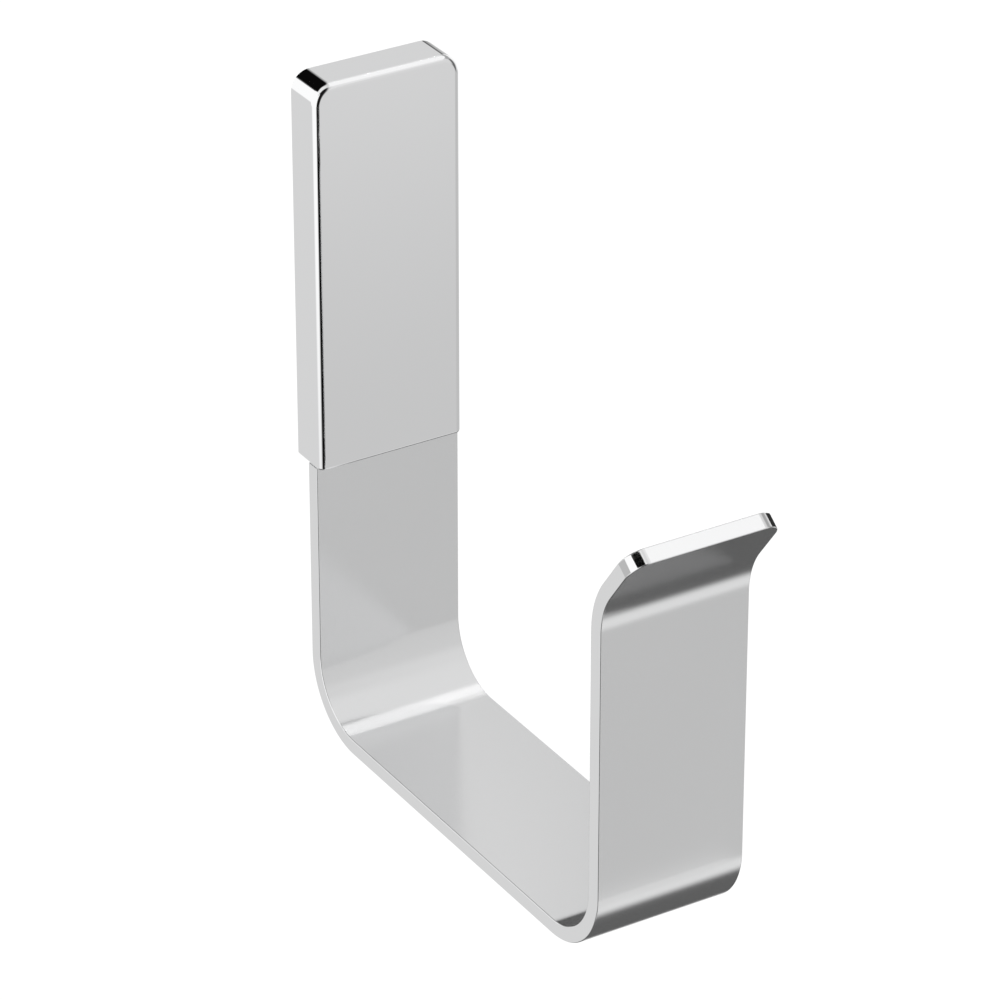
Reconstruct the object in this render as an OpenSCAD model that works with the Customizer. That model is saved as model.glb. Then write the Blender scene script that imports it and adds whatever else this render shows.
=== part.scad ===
// Wall-hung towel holder: a bent metal strap held in a chromed cover that hangs on a wall bracket.
// Millimetres, +Z up, the wall is the plane Y = 0 and the room lies towards -Y.
// The origin lies on the wall, midway between the two wall screws.

/* [Strap] */
// Width of the flat bar, and of the cover that is flush with it
strap_w = 40; // [32:1:60]
// Thickness of the flat bar
strap_t = 4; // [3:0.5:6]
// Inside radius of the two bends under the towel
bend_r = 16; // [6:1:30]
// Clear depth between the wall leg and the front leg, where the towel hangs
towel_gap = 125; // [80:1:180]
// Height of the cover's foot over the underside of the level run
hang_h = 73; // [50:1:120]
// Height of the straight front leg over the underside of the level run
front_leg_h = 90; // [50:1:140]
// Size of the small chamfer that breaks every long edge of the bar
edge_break = 0.25; // [0.1:0.05:0.5]

/* [Lip] */
// Lean of the lip away from the wall
lip_angle = 37; // [10:1:60]
// Radius of the lip's bend on its room side
lip_bend_r = 20; // [5:1:30]
// Length of the flat lip past its bend
lip_len = 15; // [8:1:30]
// Radius of the lip's two corners
lip_corner_r = 5; // [1:0.5:8]

/* [Cover] */
// Height of the cover; the bracket in it is as tall as its rib and floor leave room for
cover_h = 102; // [96:1:140]
// Thickness of the cover's front and side walls
cover_wall = 2; // [1.6:0.1:3]
// Thickness of the cover's top wall
cover_top_wall = 2.5; // [1.5:0.1:4]
// Radius of the cover's two top corners
cover_corner_r = 5; // [4:0.5:10]
// Radius of the rounded edge round the cover's front face
front_round = 1.6; // [1:0.1:2.5]
// Radius of the rounded edge round the cover's foot
foot_round = 0.7; // [0.3:0.1:1]
// Size of the small chamfer round the cover's rim at the wall
rim_break = 0.2; // [0.1:0.1:0.8]
// Thickness of the floor that holds the grub screw
floor_t = 4; // [3:0.5:6]
// Height of the rib that hangs on the bracket
rib_h = 13; // [11:0.5:18]

/* [Tongue] */
// Height of the tongue's end over the rib
tongue_over = 3; // [1:0.5:6]
// Space over the tongue's end, under the cover's top wall
tongue_top_gap = 4.5; // [2:0.5:6]
// Radius of the tongue's two top corners
tongue_corner_r = 3; // [1:0.5:6]
// Size of the chamfers on the tongue's end that lead it into the cover
tongue_lead = 1; // [0.3:0.1:1.4]
// Spacing of the two clamp screws
clamp_pitch = 18; // [14:1:20]

/* [Bracket] */
// Distance between the strap's back and the wall
wall_gap = 5; // [5:0.5:8]
// Distance between the two wall screws
hole_pitch = 50; // [30:1:56]
// Diameter of the wall screws' holes
wall_hole_d = 5; // [4:0.5:6]
// Diameter of the countersinks for the wall screws' heads
wall_sink_d = 9.6; // [8:0.2:11]
// Radius of the bracket's corners
bracket_corner_r = 3; // [1:0.5:5]
// Slope of the bracket's hooked top edge
hook_angle = 30; // [15:1:40]
// Size of the chamfers on the bracket's front edges
bracket_break = 0.5; // [0.1:0.1:1]

/* [Screws] */
// Diameter of the clamp screws' thread
clamp_d = 4; // [3:0.5:4]
// Diameter of the clamp screws' heads
clamp_head_d = 7.6; // [6.5:0.1:8]
// Diameter of the grub screw's thread
grub_d = 3; // [2.5:0.1:3]
// Diameter of the grub screw's dog point
dog_d = 2; // [1.5:0.1:2.2]
// Length of the grub screw's dog point
dog_l = 1.5; // [1:0.1:2]
// Size of the grub screw's hexagon socket, across flats
grub_key = 1.5; // [1:0.1:1.5]
// Size of the clamp screws' hexagon sockets, across flats
clamp_key = 2.5; // [2:0.1:2.5]

/* [Hidden] */
$fn = 96;

// Overrun of every cut past the face that it opens
over = 1;
// Gap of the tongue in its pocket, at its sides and its back
slide_gap = 0.3;
// Gap round a thread in its tapped hole
thread_gap = 0.1;
// Gap round a screw in a plain hole
plain_gap = 0.25;
// Gap between a countersunk head and its cone
seat_gap = 0.05;
// Gap between the bracket's front and the back of the tongue
bracket_front_gap = 0.6;
// Gap between the bracket and each side wall of the cover
bracket_side_gap = 1.5;
// Gap between the back of the rib and the wall
rib_back_gap = 0.4;
// Height that the unit must rise to come off the bracket's hooked edge
lift_gap = 3;
// Depth of each screw's end below the face that it is driven into
screw_recess = 0.2;
grub_recess = 0.6;
// Gap between a clamp screw's tip and the cover's front wall
tip_gap = 0.4;
// Gap over the tip of the dog point
dog_gap = 0.7;
// Share of a screw's diameter that its socket is deep
socket_share = 0.5;
// Share of the rib's height, from its foot, at which the clamp screws sit
clamp_height_share = 0.55;

// The bracket is centred on the wall screws
bracket_h = cover_h - cover_top_wall - tongue_top_gap - tongue_over - rib_h - lift_gap - floor_t;
bracket_t = wall_gap - bracket_front_gap;
bracket_w = strap_w - 2*cover_wall - 2*bracket_side_gap;
bracket_top = bracket_h/2;
hook_drop = bracket_t*tan(hook_angle);

// The cover is flush with the strap and covers its thickness and the space behind it
cover_d = wall_gap + strap_t + cover_wall;
foot_z = -bracket_h/2 - lift_gap - floor_t;
cover_top = foot_z + cover_h;
cavity_w = strap_w - 2*cover_wall;
rib_w = strap_w - cover_wall;
cavity_top = cover_top - cover_top_wall;
cavity_corner_r = max(cover_corner_r - cover_wall, foot_round);
rib_front = wall_gap - slide_gap;
rib_t = rib_front - rib_back_gap;
rib_top = bracket_top + rib_h;
clamp_z = bracket_top + clamp_height_share*rib_h;

// The strap hangs from the cover's foot, and its tongue stands in the cover
wall_leg_front = wall_gap + strap_t;
outer_bend_r = bend_r + strap_t;
tongue_w = cavity_w - 2*slide_gap;
tongue_top = rib_top + tongue_over;

clamp_l = wall_leg_front - rib_back_gap - screw_recess - tip_gap;
clamp_head_h = (clamp_head_d - clamp_d)/2;
grub_y = -rib_front/2;
grub_l = floor_t + lift_gap - grub_recess;
wall_sink_h = (wall_sink_d - wall_hole_d)/2;

// In the side view x is the distance from the wall, y is the height and z runs across the width
module side_view() {
    rotate([90, 0, -90]) children();
}

module along_width(w) {
    side_view() linear_extrude(height = w, center = true) children();
}

// Front-view shapes are drawn in X and Z and go back from distance d0 to distance d1 off the wall
module off_wall(d0, d1) {
    translate([0, -d0, 0]) rotate([90, 0, 0]) linear_extrude(height = d1 - d0) children();
}

// A plate outline of width w between two heights, with both top corners rounded
module tombstone(w, z0, z1, r) {
    translate([-w/2, z0]) square([w, z1 - r - z0]);
    translate([-w/2 + r, z0]) square([w - 2*r, z1 - z0]);
    for (s = [-1, 1]) translate([s*(w/2 - r), z1 - r]) circle(r = r);
}

// The bar's section: its thickness along x, its width along y, with broken edges
module bar_section() {
    translate([0, -strap_w/2]) polygon([
        [edge_break, 0],
        [strap_t - edge_break, 0],
        [strap_t, edge_break],
        [strap_t, strap_w - edge_break],
        [strap_t - edge_break, strap_w],
        [edge_break, strap_w],
        [0, strap_w - edge_break],
        [0, edge_break]
    ]);
}

// The bar is bent in order. Each stretch runs along x with its thickness towards +y,
// and what follows it is drawn at its far end.
module run(l) {
    rotate([90, 0, 90]) linear_extrude(height = l) bar_section();
    translate([l, 0, 0]) children();
}

// A bend towards +y
module bend_left(r, angle) {
    translate([0, r + strap_t, 0]) {
        rotate([0, 0, -90]) rotate_extrude(angle = angle) translate([r, 0]) bar_section();
        rotate([0, 0, angle]) translate([0, -r - strap_t, 0]) children();
    }
}

// A bend towards -y
module bend_right(r, angle) {
    translate([0, -r, 0]) {
        rotate([0, 0, 90 - angle]) rotate_extrude(angle = angle) translate([r, 0]) bar_section();
        rotate([0, 0, -angle]) translate([0, r, 0]) children();
    }
}

// A length l of the bar in side view, with the edges of its far end broken
module broken_end(l) {
    polygon([
        [0, 0],
        [l - edge_break, 0],
        [l, edge_break],
        [l, strap_t - edge_break],
        [l - edge_break, strap_t],
        [0, strap_t]
    ]);
}

// The flat lip that ends the bar, with its two corners rounded
module lip() {
    straight = lip_len - lip_corner_r;
    half_flat = strap_w/2 - lip_corner_r;
    run(straight);
    linear_extrude(height = 2*half_flat, center = true) broken_end(lip_len);
    for (s = [-1, 1]) translate([straight, 0, s*half_flat])
        rotate([-90, 0, 0]) rotate([0, 0, s > 0 ? -90 : 0]) rotate_extrude(angle = 90)
            broken_end(lip_corner_r);
}

// The tongue from the side, with both edges of its end chamfered
module tongue_side() {
    polygon([
        [wall_gap, foot_z - strap_t],
        [wall_leg_front, foot_z - strap_t],
        [wall_leg_front, tongue_top - tongue_lead],
        [wall_leg_front - tongue_lead, tongue_top],
        [wall_gap + tongue_lead, tongue_top],
        [wall_gap, tongue_top - tongue_lead]
    ]);
}

// The strap: a tongue in the cover, the wall leg, the level run, the front leg and the lip
module hook_strap() {
    color("lightgray") difference() {
        union() {
            side_view() translate([wall_gap, foot_z, 0]) rotate([0, 0, -90])
                run(hang_h - outer_bend_r) bend_left(bend_r, 90)
                run(towel_gap - 2*bend_r) bend_left(bend_r, 90)
                run(front_leg_h - outer_bend_r) bend_right(lip_bend_r, lip_angle) lip();
            // The tongue's root runs down into the leg
            intersection() {
                off_wall(wall_gap, wall_leg_front)
                    tombstone(tongue_w, foot_z - strap_t, tongue_top, tongue_corner_r);
                along_width(tongue_w) tongue_side();
            }
        }
        for (s = [-1, 1])
            translate([s*clamp_pitch/2, 0, clamp_z]) rotate([90, 0, 0])
                cylinder(d = clamp_d + 2*thread_gap, h = wall_leg_front + over);
    }
}

// A quarter of a top corner's section: x runs out from the corner's middle, y goes into the room
module corner_block() {
    polygon([
        [0, 0],
        [cover_corner_r - rim_break, 0],
        [cover_corner_r, rim_break],
        [cover_corner_r, cover_d - front_round],
        [cover_corner_r - front_round, cover_d],
        [0, cover_d]
    ]);
    translate([cover_corner_r - front_round, cover_d - front_round]) circle(r = front_round);
}

// The top edge in side view: x goes into the room, y runs up to the top face
module top_block() {
    polygon([
        [0, 0],
        [cover_d, 0],
        [cover_d, cover_corner_r - front_round],
        [cover_d - front_round, cover_corner_r],
        [rim_break, cover_corner_r],
        [0, cover_corner_r - rim_break]
    ]);
    translate([cover_d - front_round, cover_corner_r - front_round]) circle(r = front_round);
}

// A quarter of a disc below and to the right of the origin
module lower_quarter(r) {
    intersection() {
        circle(r = r);
        translate([0, -r]) square(r);
    }
}

// The cover in plan: a broken rim at the wall, rounded towards the room
module plan_outline(inset) {
    r = front_round - inset;
    w = strap_w - 2*inset;
    d = cover_d - inset;
    polygon([
        [-w/2 + rim_break, 0],
        [-w/2, -rim_break],
        [-w/2, -d + r],
        [-w/2 + r, -d],
        [w/2 - r, -d],
        [w/2, -d + r],
        [w/2, -rim_break],
        [w/2 - rim_break, 0]
    ]);
    for (s = [-1, 1]) translate([s*(w/2 - r), -d + r]) circle(r = r);
}

// The solid form of the cover, with one rounded edge all round its front face
module cover_form() {
    corner_z = cover_top - cover_corner_r;
    translate([0, 0, foot_z + foot_round])
        linear_extrude(height = cover_h - foot_round - cover_corner_r) plan_outline(0);
    translate([0, 0, corner_z]) along_width(strap_w - 2*cover_corner_r) top_block();
    for (s = [-1, 1]) translate([s*(strap_w/2 - cover_corner_r), 0, corner_z])
        rotate([90, 0, 0]) rotate([0, 0, s > 0 ? 0 : 90]) rotate_extrude(angle = 90) corner_block();
}

// The rounded lower edge of the cover: the sides, the front and the two corners between them
module cover_foot() {
    translate([0, 0, foot_z]) linear_extrude(height = foot_round) plan_outline(foot_round);
    translate([0, 0, foot_z + foot_round]) {
        for (s = [-1, 1]) {
            quarter_turn = s > 0 ? 0 : 270;
            translate([s*(strap_w/2 - foot_round), 0, 0]) off_wall(rim_break, cover_d - front_round)
                rotate(quarter_turn) lower_quarter(foot_round);
            translate([s*(strap_w/2 - front_round), -(cover_d - front_round), 0])
                rotate([0, 0, s > 0 ? 270 : 180]) rotate_extrude(angle = 90)
                    translate([front_round - foot_round, 0]) lower_quarter(foot_round);
        }
        along_width(strap_w - 2*front_round)
            translate([cover_d - foot_round, 0]) lower_quarter(foot_round);
    }
}

// The rib behind the tongue: its sloped underside hooks over the bracket's top edge
module rib_side() {
    polygon([
        [rib_back_gap, bracket_top - hook_drop + rib_back_gap*tan(hook_angle)],
        [bracket_t, bracket_top],
        [rib_front, bracket_top],
        [rib_front, rib_top],
        [rib_back_gap, rib_top]
    ]);
}

module cover() {
    color("silver") difference() {
        union() {
            difference() {
                union() {
                    cover_form();
                    cover_foot();
                }
                // The cavity is open at the wall, and at the foot for the strap
                off_wall(-over, wall_leg_front)
                    tombstone(cavity_w, foot_z - over, cavity_top, cavity_corner_r);
            }
            // The rib and the floor run into the side walls
            along_width(rib_w) rib_side();
            translate([-rib_w/2, -rib_front, foot_z]) cube([rib_w, rib_front, floor_t]);
        }
        for (s = [-1, 1]) translate([s*clamp_pitch/2, -rib_back_gap, clamp_z]) rotate([90, 0, 0]) {
            cylinder(d = clamp_d + 2*plain_gap, h = rib_t + over);
            clamp_sink();
        }
        translate([0, grub_y, foot_z - over])
            cylinder(d = grub_d + 2*thread_gap, h = floor_t + 2*over);
    }
}

// Countersink in the rib: a short straight mouth and a right-angled cone
module clamp_sink() {
    mouth_d = clamp_head_d + 2*seat_gap;
    translate([0, 0, -over]) cylinder(d = mouth_d, h = over + screw_recess);
    translate([0, 0, screw_recess])
        cylinder(d1 = mouth_d, d2 = clamp_d, h = (mouth_d - clamp_d)/2);
}

// The wall bracket: a plate with two countersunk holes, a hooked top edge and a pocket for the dog point
module bracket_outline() {
    r = bracket_corner_r;
    translate([-bracket_w/2 + r, -bracket_h/2]) square([bracket_w - 2*r, bracket_h]);
    translate([-bracket_w/2, -bracket_h/2 + r]) square([bracket_w, bracket_h - r]);
    for (s = [-1, 1]) translate([s*(bracket_w/2 - r), -bracket_h/2 + r]) circle(r = r);
}

module bracket_side() {
    polygon([
        [0, -bracket_h/2],
        [bracket_t - bracket_break, -bracket_h/2],
        [bracket_t, -bracket_h/2 + bracket_break],
        [bracket_t, bracket_top],
        [0, bracket_top - hook_drop]
    ]);
}

// The bracket in plan, with its two long front edges broken
module bracket_plan() {
    polygon([
        [-bracket_w/2, 0],
        [-bracket_w/2, -bracket_t + bracket_break],
        [-bracket_w/2 + bracket_break, -bracket_t],
        [bracket_w/2 - bracket_break, -bracket_t],
        [bracket_w/2, -bracket_t + bracket_break],
        [bracket_w/2, 0]
    ]);
}

module wall_bracket() {
    color("darkgray") difference() {
        intersection() {
            off_wall(0, bracket_t) bracket_outline();
            along_width(bracket_w) bracket_side();
            linear_extrude(height = bracket_h, center = true) bracket_plan();
        }
        for (s = [-1, 1]) translate([0, over, s*hole_pitch/2]) rotate([90, 0, 0]) {
            cylinder(d = wall_hole_d, h = bracket_t + 2*over);
            translate([0, 0, over + bracket_t - wall_sink_h])
                cylinder(d1 = wall_hole_d, d2 = wall_sink_d, h = wall_sink_h);
            translate([0, 0, over + bracket_t]) cylinder(d = wall_sink_d, h = over);
        }
        translate([0, grub_y, -bracket_h/2 - over])
            cylinder(d = dog_d + 2*plain_gap, h = over + dog_l + dog_gap);
    }
}

// A hexagonal key socket, point up, of a size across flats
module socket(key, depth) {
    translate([0, 0, -over]) cylinder(d = key/cos(30), h = depth + over, $fn = 6);
}

// A countersunk clamp screw, driven from the wall side through the rib into the tongue
module clamp_screw(side) {
    color("gray") translate([side*clamp_pitch/2, -rib_back_gap - screw_recess, clamp_z])
        rotate([90, 0, 0]) difference() {
            union() {
                cylinder(d = clamp_d, h = clamp_l);
                cylinder(d1 = clamp_head_d, d2 = clamp_d, h = clamp_head_h);
            }
            socket(clamp_key, socket_share*clamp_d);
        }
}

module clamp_screw_left() {
    clamp_screw(-1);
}

module clamp_screw_right() {
    clamp_screw(1);
}

// The grub screw stands in the cover's floor, and its dog point locks into the bracket's foot
module grub_screw() {
    color("dimgray") translate([0, grub_y, foot_z + grub_recess]) difference() {
        union() {
            cylinder(d = grub_d, h = grub_l);
            cylinder(d = dog_d, h = grub_l + dog_l);
        }
        socket(grub_key, socket_share*grub_d);
    }
}

hook_strap();
cover();
wall_bracket();
clamp_screw_left();
clamp_screw_right();
grub_screw();
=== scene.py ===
import math

import bmesh
import bpy
from bpy.props import FloatProperty, FloatVectorProperty, IntProperty, PointerProperty
from mathutils import Euler, Matrix, Vector


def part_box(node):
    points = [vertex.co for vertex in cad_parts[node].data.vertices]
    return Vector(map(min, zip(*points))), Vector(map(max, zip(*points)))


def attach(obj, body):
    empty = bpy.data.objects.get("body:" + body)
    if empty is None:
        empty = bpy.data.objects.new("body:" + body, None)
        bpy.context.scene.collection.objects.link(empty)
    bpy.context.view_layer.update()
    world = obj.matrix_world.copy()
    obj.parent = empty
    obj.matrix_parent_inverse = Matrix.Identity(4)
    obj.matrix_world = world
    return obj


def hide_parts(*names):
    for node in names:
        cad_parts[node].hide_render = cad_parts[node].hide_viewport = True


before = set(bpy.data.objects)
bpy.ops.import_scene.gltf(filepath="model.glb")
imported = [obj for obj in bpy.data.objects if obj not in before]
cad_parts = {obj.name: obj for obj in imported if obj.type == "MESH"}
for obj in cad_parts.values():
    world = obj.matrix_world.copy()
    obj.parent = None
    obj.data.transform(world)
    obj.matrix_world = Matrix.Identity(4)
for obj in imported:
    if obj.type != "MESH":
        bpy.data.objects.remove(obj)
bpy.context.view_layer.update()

bl_info = {
    "name": "Towel holder",
    "version": (1, 0, 0),
    "blender": (4, 5, 0),
    "location": "3D View > Sidebar > Towel holder",
    "description": "Dresses a wall-hung towel holder: satin strap, polished cover, bracket and screws",
    "category": "Object",
}

MM = 0.001
BODY = "root"
STRAP_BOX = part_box("hook_strap")
COVER_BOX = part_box("cover")
BRACKET_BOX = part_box("wall_bracket")
LEFT_SCREW_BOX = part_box("clamp_screw_left")
RIGHT_SCREW_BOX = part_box("clamp_screw_right")
GRUB_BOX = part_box("grub_screw")

# Points closer than MERGE become one, and places closer than SAME count as the same
MERGE = 1e-7
SAME = 1e-6
# SLIVER keeps cutters and tests off the faces they would touch; a cutter runs OVERRUN past what it cuts
SLIVER = 0.01 * MM
OVERRUN = MM
# Shares of an edge's direction: more than ALONG runs along an axis, less than ACROSS lies across it
ALONG = 0.9
ACROSS = 0.1
# Faces that meet at less than SMOOTH_UNDER are shaded smooth, and at more than SHARP_OVER lies an edge of
# the bar
SMOOTH_UNDER = math.radians(35)
SHARP_OVER = math.radians(60)
# A face of the bar is a narrow one when more than SIDE_OVER of its normal points sideways, and belongs
# to the lip's rim when less than RIM_UNDER of it points out of the lip's wide side
SIDE_OVER = 0.35
RIM_UNDER = 0.7
# Sides of drilled holes, of small ones, of turned pieces and of key sockets
HOLE_SIDES = 64
SMALL_HOLE_SIDES = 32
TURNED_SIDES = 40
KEY_SIDES = 6
# Depth of a thread's grooves as a share of its pitch
THREAD_SHARE = 0.5
# Weight that large faces have in the shading of the edges round them, from 1 to 100
FACE_WEIGHT = 100
# Waves in a metre of the slow change of tone and gloss over a metal
CLOUD_SCALE = 38.0
# A panel shows only on the side of the tent that lies more than this many metres ahead
AHEAD = 0.001


def length(name, description, default_mm, low_mm=0.0, high_mm=500.0):
    """A size in metres whose default is given in millimetres."""
    return FloatProperty(
        name=name,
        description=description,
        default=default_mm * MM,
        min=low_mm * MM,
        max=high_mm * MM,
        precision=5,
        subtype="DISTANCE",
        unit="LENGTH",
    )


def angle(name, description, default_deg):
    """An angle in radians whose default is given in degrees."""
    return FloatProperty(
        name=name,
        description=description,
        default=math.radians(default_deg),
        subtype="ANGLE",
        unit="ROTATION",
    )


def colour(name, description, default):
    """A linear colour without alpha."""
    return FloatVectorProperty(
        name=name,
        description=description,
        default=default,
        size=3,
        min=0.0,
        max=1.0,
        subtype="COLOR",
    )


def share(name, description, default, high=1.0):
    """A plain number from 0 up."""
    return FloatProperty(
        name=name,
        description=description,
        default=default,
        min=0.0,
        max=high,
        precision=4,
    )


def facets(name, description, default):
    """A count of facets."""
    return IntProperty(name=name, description=description, default=default, min=1)


def vector(name, description, default):
    """A place or a direction."""
    return FloatVectorProperty(name=name, description=description, default=default, subtype="XYZ")


class StrapSizes(bpy.types.PropertyGroup):
    """The bent bar that the towel hangs on."""

    width: length("Width", "Width of the flat bar", 40)
    thickness: length("Thickness", "Thickness of the flat bar", 4)
    wall_gap: length("Wall gap", "Distance between the bar's back and the wall", 5)
    bend: length("Bend", "Inside radius of the two bends under the towel", 16)
    towel_gap: length("Towel gap", "Clear depth between the two legs", 125)
    front_leg: length("Front leg", "Height of the straight front leg over the underside", 90)
    lip_lean: angle("Lip lean", "Lean of the lip away from the wall", 37)
    lip_bend: length("Lip bend", "Radius of the lip's bend on its room side", 20)
    lip_length: length("Lip", "Length of the flat lip past its bend", 14.9)
    lip_corner: length("Lip corner", "Radius of the lip's two corners", 5)
    edge: length("Edge", "Size of the broken long edges", 0.25)
    tongue_width: length("Tongue", "Width of the tongue in the cover", 35.4)
    tongue_corner: length("Tongue corner", "Radius of the tongue's top corners", 3)
    tongue_top: length("Tongue top", "Height of the tongue's end over the wall screws' middle", 52)
    tongue_lead: length("Tongue lead", "Size of the chamfers on the tongue's end", 1)
    hole_play: length("Hole play", "Clearance round each clamp screw in the tongue", 0.1)
    bend_facets: facets("Bend facets", "Facets in each right-angled bend", 48)
    corner_facets: facets("Corner facets", "Facets in each of the lip's corners", 16)
    edge_facets: facets("Edge facets", "Facets across each broken edge", 3)
    tongue_facets: facets("Tongue facets", "Facets in each of the tongue's corners", 10)


class CoverSizes(bpy.types.PropertyGroup):
    """The polished cover on the wall."""

    wall: length("Wall", "Thickness of the front and side walls", 2)
    top_wall: length("Top wall", "Thickness of the top wall", 2.5)
    corner: length("Corner", "Radius of the two top corners", 5)
    front_round: length("Front edge", "Radius of the edge round the front face", 1.6)
    foot_round: length("Foot edge", "Radius of the edge round the foot", 0.7)
    back_round: length("Back edge", "Radius of the edge that meets the wall", 0.2)
    depth_inside: length("Depth inside", "Depth of the hollow from the wall", 9)
    rib_front: length("Rib front", "Distance of the rib's front from the wall", 4.7)
    rib_back: length("Rib back", "Distance of the rib's back from the wall", 0.4)
    rib_height: length("Rib height", "Height of the rib over the bracket's top", 13)
    rib_slope: angle("Rib slope", "Slope of the rib's underside over the bracket", 30)
    floor: length("Floor", "Thickness of the floor that holds the grub screw", 4)
    screw_hole: length("Screw hole", "Diameter of the clamp screws' plain holes", 4.5)
    sink: length("Sink", "Diameter of the countersinks' mouths", 7.7)
    recess: length("Recess", "Depth of the screw heads below the rib's back", 0.2)
    grub_hole: length("Grub hole", "Diameter of the grub screw's hole", 3.2)
    corner_facets: facets("Corner facets", "Facets in each top corner", 24)
    front_facets: facets("Front facets", "Facets across the edge round the front face", 12)
    foot_facets: facets("Foot facets", "Facets across the edge round the foot", 6)
    back_facets: facets("Back facets", "Facets across the edge that meets the wall", 4)


class BracketSizes(bpy.types.PropertyGroup):
    """The wall bracket inside the cover."""

    corner: length("Corner", "Radius of the lower corners", 3)
    edge: length("Edge", "Size of the broken edges", 0.5)
    hole_pitch: length("Hole pitch", "Distance between the two wall screws", 50)
    hole: length("Hole", "Diameter of the wall screws' holes", 5)
    sink: length("Sink", "Diameter of the countersinks", 9.6)
    dog_pocket: length("Dog pocket", "Diameter of the pocket for the dog point", 2.5)
    dog_depth: length("Dog depth", "Depth of the pocket for the dog point", 2.2)
    corner_facets: facets("Corner facets", "Facets in each lower corner", 12)
    edge_facets: facets("Edge facets", "Facets across each broken edge", 2)


class ScrewSizes(bpy.types.PropertyGroup):
    """The clamp screws and the grub screw."""

    clamp: length("Clamp screw", "Thread diameter of the clamp screws", 4)
    clamp_head: length("Head", "Head diameter of the clamp screws", 7.6)
    clamp_key: length("Clamp key", "Socket of the clamp screws, across flats", 2.5)
    clamp_pitch: length("Thread pitch", "Thread pitch of the clamp screws", 0.7)
    grub: length("Grub screw", "Thread diameter of the grub screw", 3)
    grub_key: length("Grub key", "Socket of the grub screw, across flats", 1.5)
    grub_pitch: length("Grub pitch", "Thread pitch of the grub screw", 0.5)
    dog: length("Dog point", "Diameter of the dog point", 2)
    dog_length: length("Dog length", "Length of the dog point", 1.5)


class Finishes(bpy.types.PropertyGroup):
    """Colours and gloss of the metals."""

    chrome: colour("Chrome", "Colour of the polished cover", (0.95, 0.952, 0.957))
    chrome_rough: share("Chrome roughness", "Roughness of the polished cover", 0.035)
    casting: colour("Casting", "Colour of the thinly plated inside of the cover", (0.62, 0.625, 0.635))
    casting_rough: share("Casting roughness", "Roughness of the inside of the cover", 0.38)
    satin: colour("Satin", "Colour of the satin steel", (0.853, 0.855, 0.859))
    satin_rough: share("Satin roughness", "Roughness of the bar's wide faces", 0.17)
    satin_metallic: share("Satin metal", "Share of the satin faces that reflects as bare metal", 0.98)
    edge: colour("Edge", "Colour of the bar's polished narrow faces", (0.95, 0.952, 0.956))
    edge_rough: share("Edge roughness", "Roughness of the bar's narrow faces", 0.06)
    bracket: colour("Bracket", "Colour of the extruded aluminium", (0.68, 0.685, 0.7))
    bracket_rough: share("Bracket roughness", "Roughness of the extruded aluminium", 0.34)
    screw: colour("Screws", "Colour of the steel screws", (0.5, 0.505, 0.515))
    screw_rough: share("Screw roughness", "Roughness of the steel screws", 0.3)


class StudioSettings(bpy.types.PropertyGroup):
    """The camera, the floor and the light."""

    lens: FloatProperty(name="Lens", description="Focal length in millimetres", default=192.0)
    sensor: FloatProperty(name="Sensor", description="Width of the picture in the camera", default=36.0)
    sight: length("Sight", "Distance up to which the camera sees", 200000, 0, 1000000)
    azimuth: angle("Azimuth", "Turn of the camera round the object", -31.285)
    elevation: angle("Elevation", "Height of the camera over the horizon", 28.84)
    place: vector("Place", "Where the camera stands", (-0.5736, -1.0059, 0.5759))
    floor_drop: length("Floor drop", "Distance from the object's underside to the floor", 600, 0, 5000)
    floor_size: length("Floor size", "Width of the floor", 60000, 0, 100000)
    floor_colour: colour("Floor colour", "Colour of the floor", (0.6, 0.6, 0.6))
    floor_glow: share("Floor glow", "Lift that makes the floor's pale colour read as white", 0.45, 2.0)
    plain: share("Plain light", "Level of the plain light all round", 1.0, 4.0)
    tent_radius: length("Tent", "Radius of the light tent", 4000, 0, 20000)
    tent_rings: facets("Tent rings", "Rings of facets in the light tent", 24)
    ambient: share("Ambient", "Level of the tent's plain cloth", 0.68, 4.0)
    lamp_way: vector("Lamp", "Direction towards the lamp", (0.455, 0.38, 0.81))
    lamp_spread: angle("Lamp spread", "Width of the lamp in the sky", 25)
    lamp_strength: share("Lamp strength", "Strength of the lamp", 0.047)


class TowelHolder(bpy.types.PropertyGroup):
    """All the sizes, colours and settings of the towel holder."""

    strap: PointerProperty(type=StrapSizes)
    cover: PointerProperty(type=CoverSizes)
    bracket: PointerProperty(type=BracketSizes)
    screws: PointerProperty(type=ScrewSizes)
    finishes: PointerProperty(type=Finishes)
    studio: PointerProperty(type=StudioSettings)


# Shapes

def box_solid(low, high):
    """A bmesh box between two corners."""
    bm = bmesh.new()
    size = [b - a for a, b in zip(low, high)]
    centre = [(a + b) / 2 for a, b in zip(low, high)]
    place = Matrix.Translation(centre) @ Matrix.Diagonal((*size, 1.0))
    bmesh.ops.create_cube(bm, size=1.0, matrix=place)
    return bm


def turn_to(way):
    """The turn that takes the Z axis to a direction."""
    return Vector((0, 0, 1)).rotation_difference(Vector(way)).to_matrix().to_4x4()


def cone_solid(start, way, depth, r_start, r_end, sides=HOLE_SIDES):
    """A bmesh cone or cylinder that starts at a point and runs along a direction."""
    bm = bmesh.new()
    middle = Vector(start) + Vector(way).normalized() * depth / 2
    bmesh.ops.create_cone(
        bm, cap_ends=True, segments=sides, radius1=r_start, radius2=r_end, depth=depth,
        matrix=Matrix.Translation(middle) @ turn_to(way),
    )
    return bm


def drill(start, way, depth, radius, sides=HOLE_SIDES):
    """A cylinder that cuts a hole."""
    return cone_solid(start, way, depth, radius, radius, sides)


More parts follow.
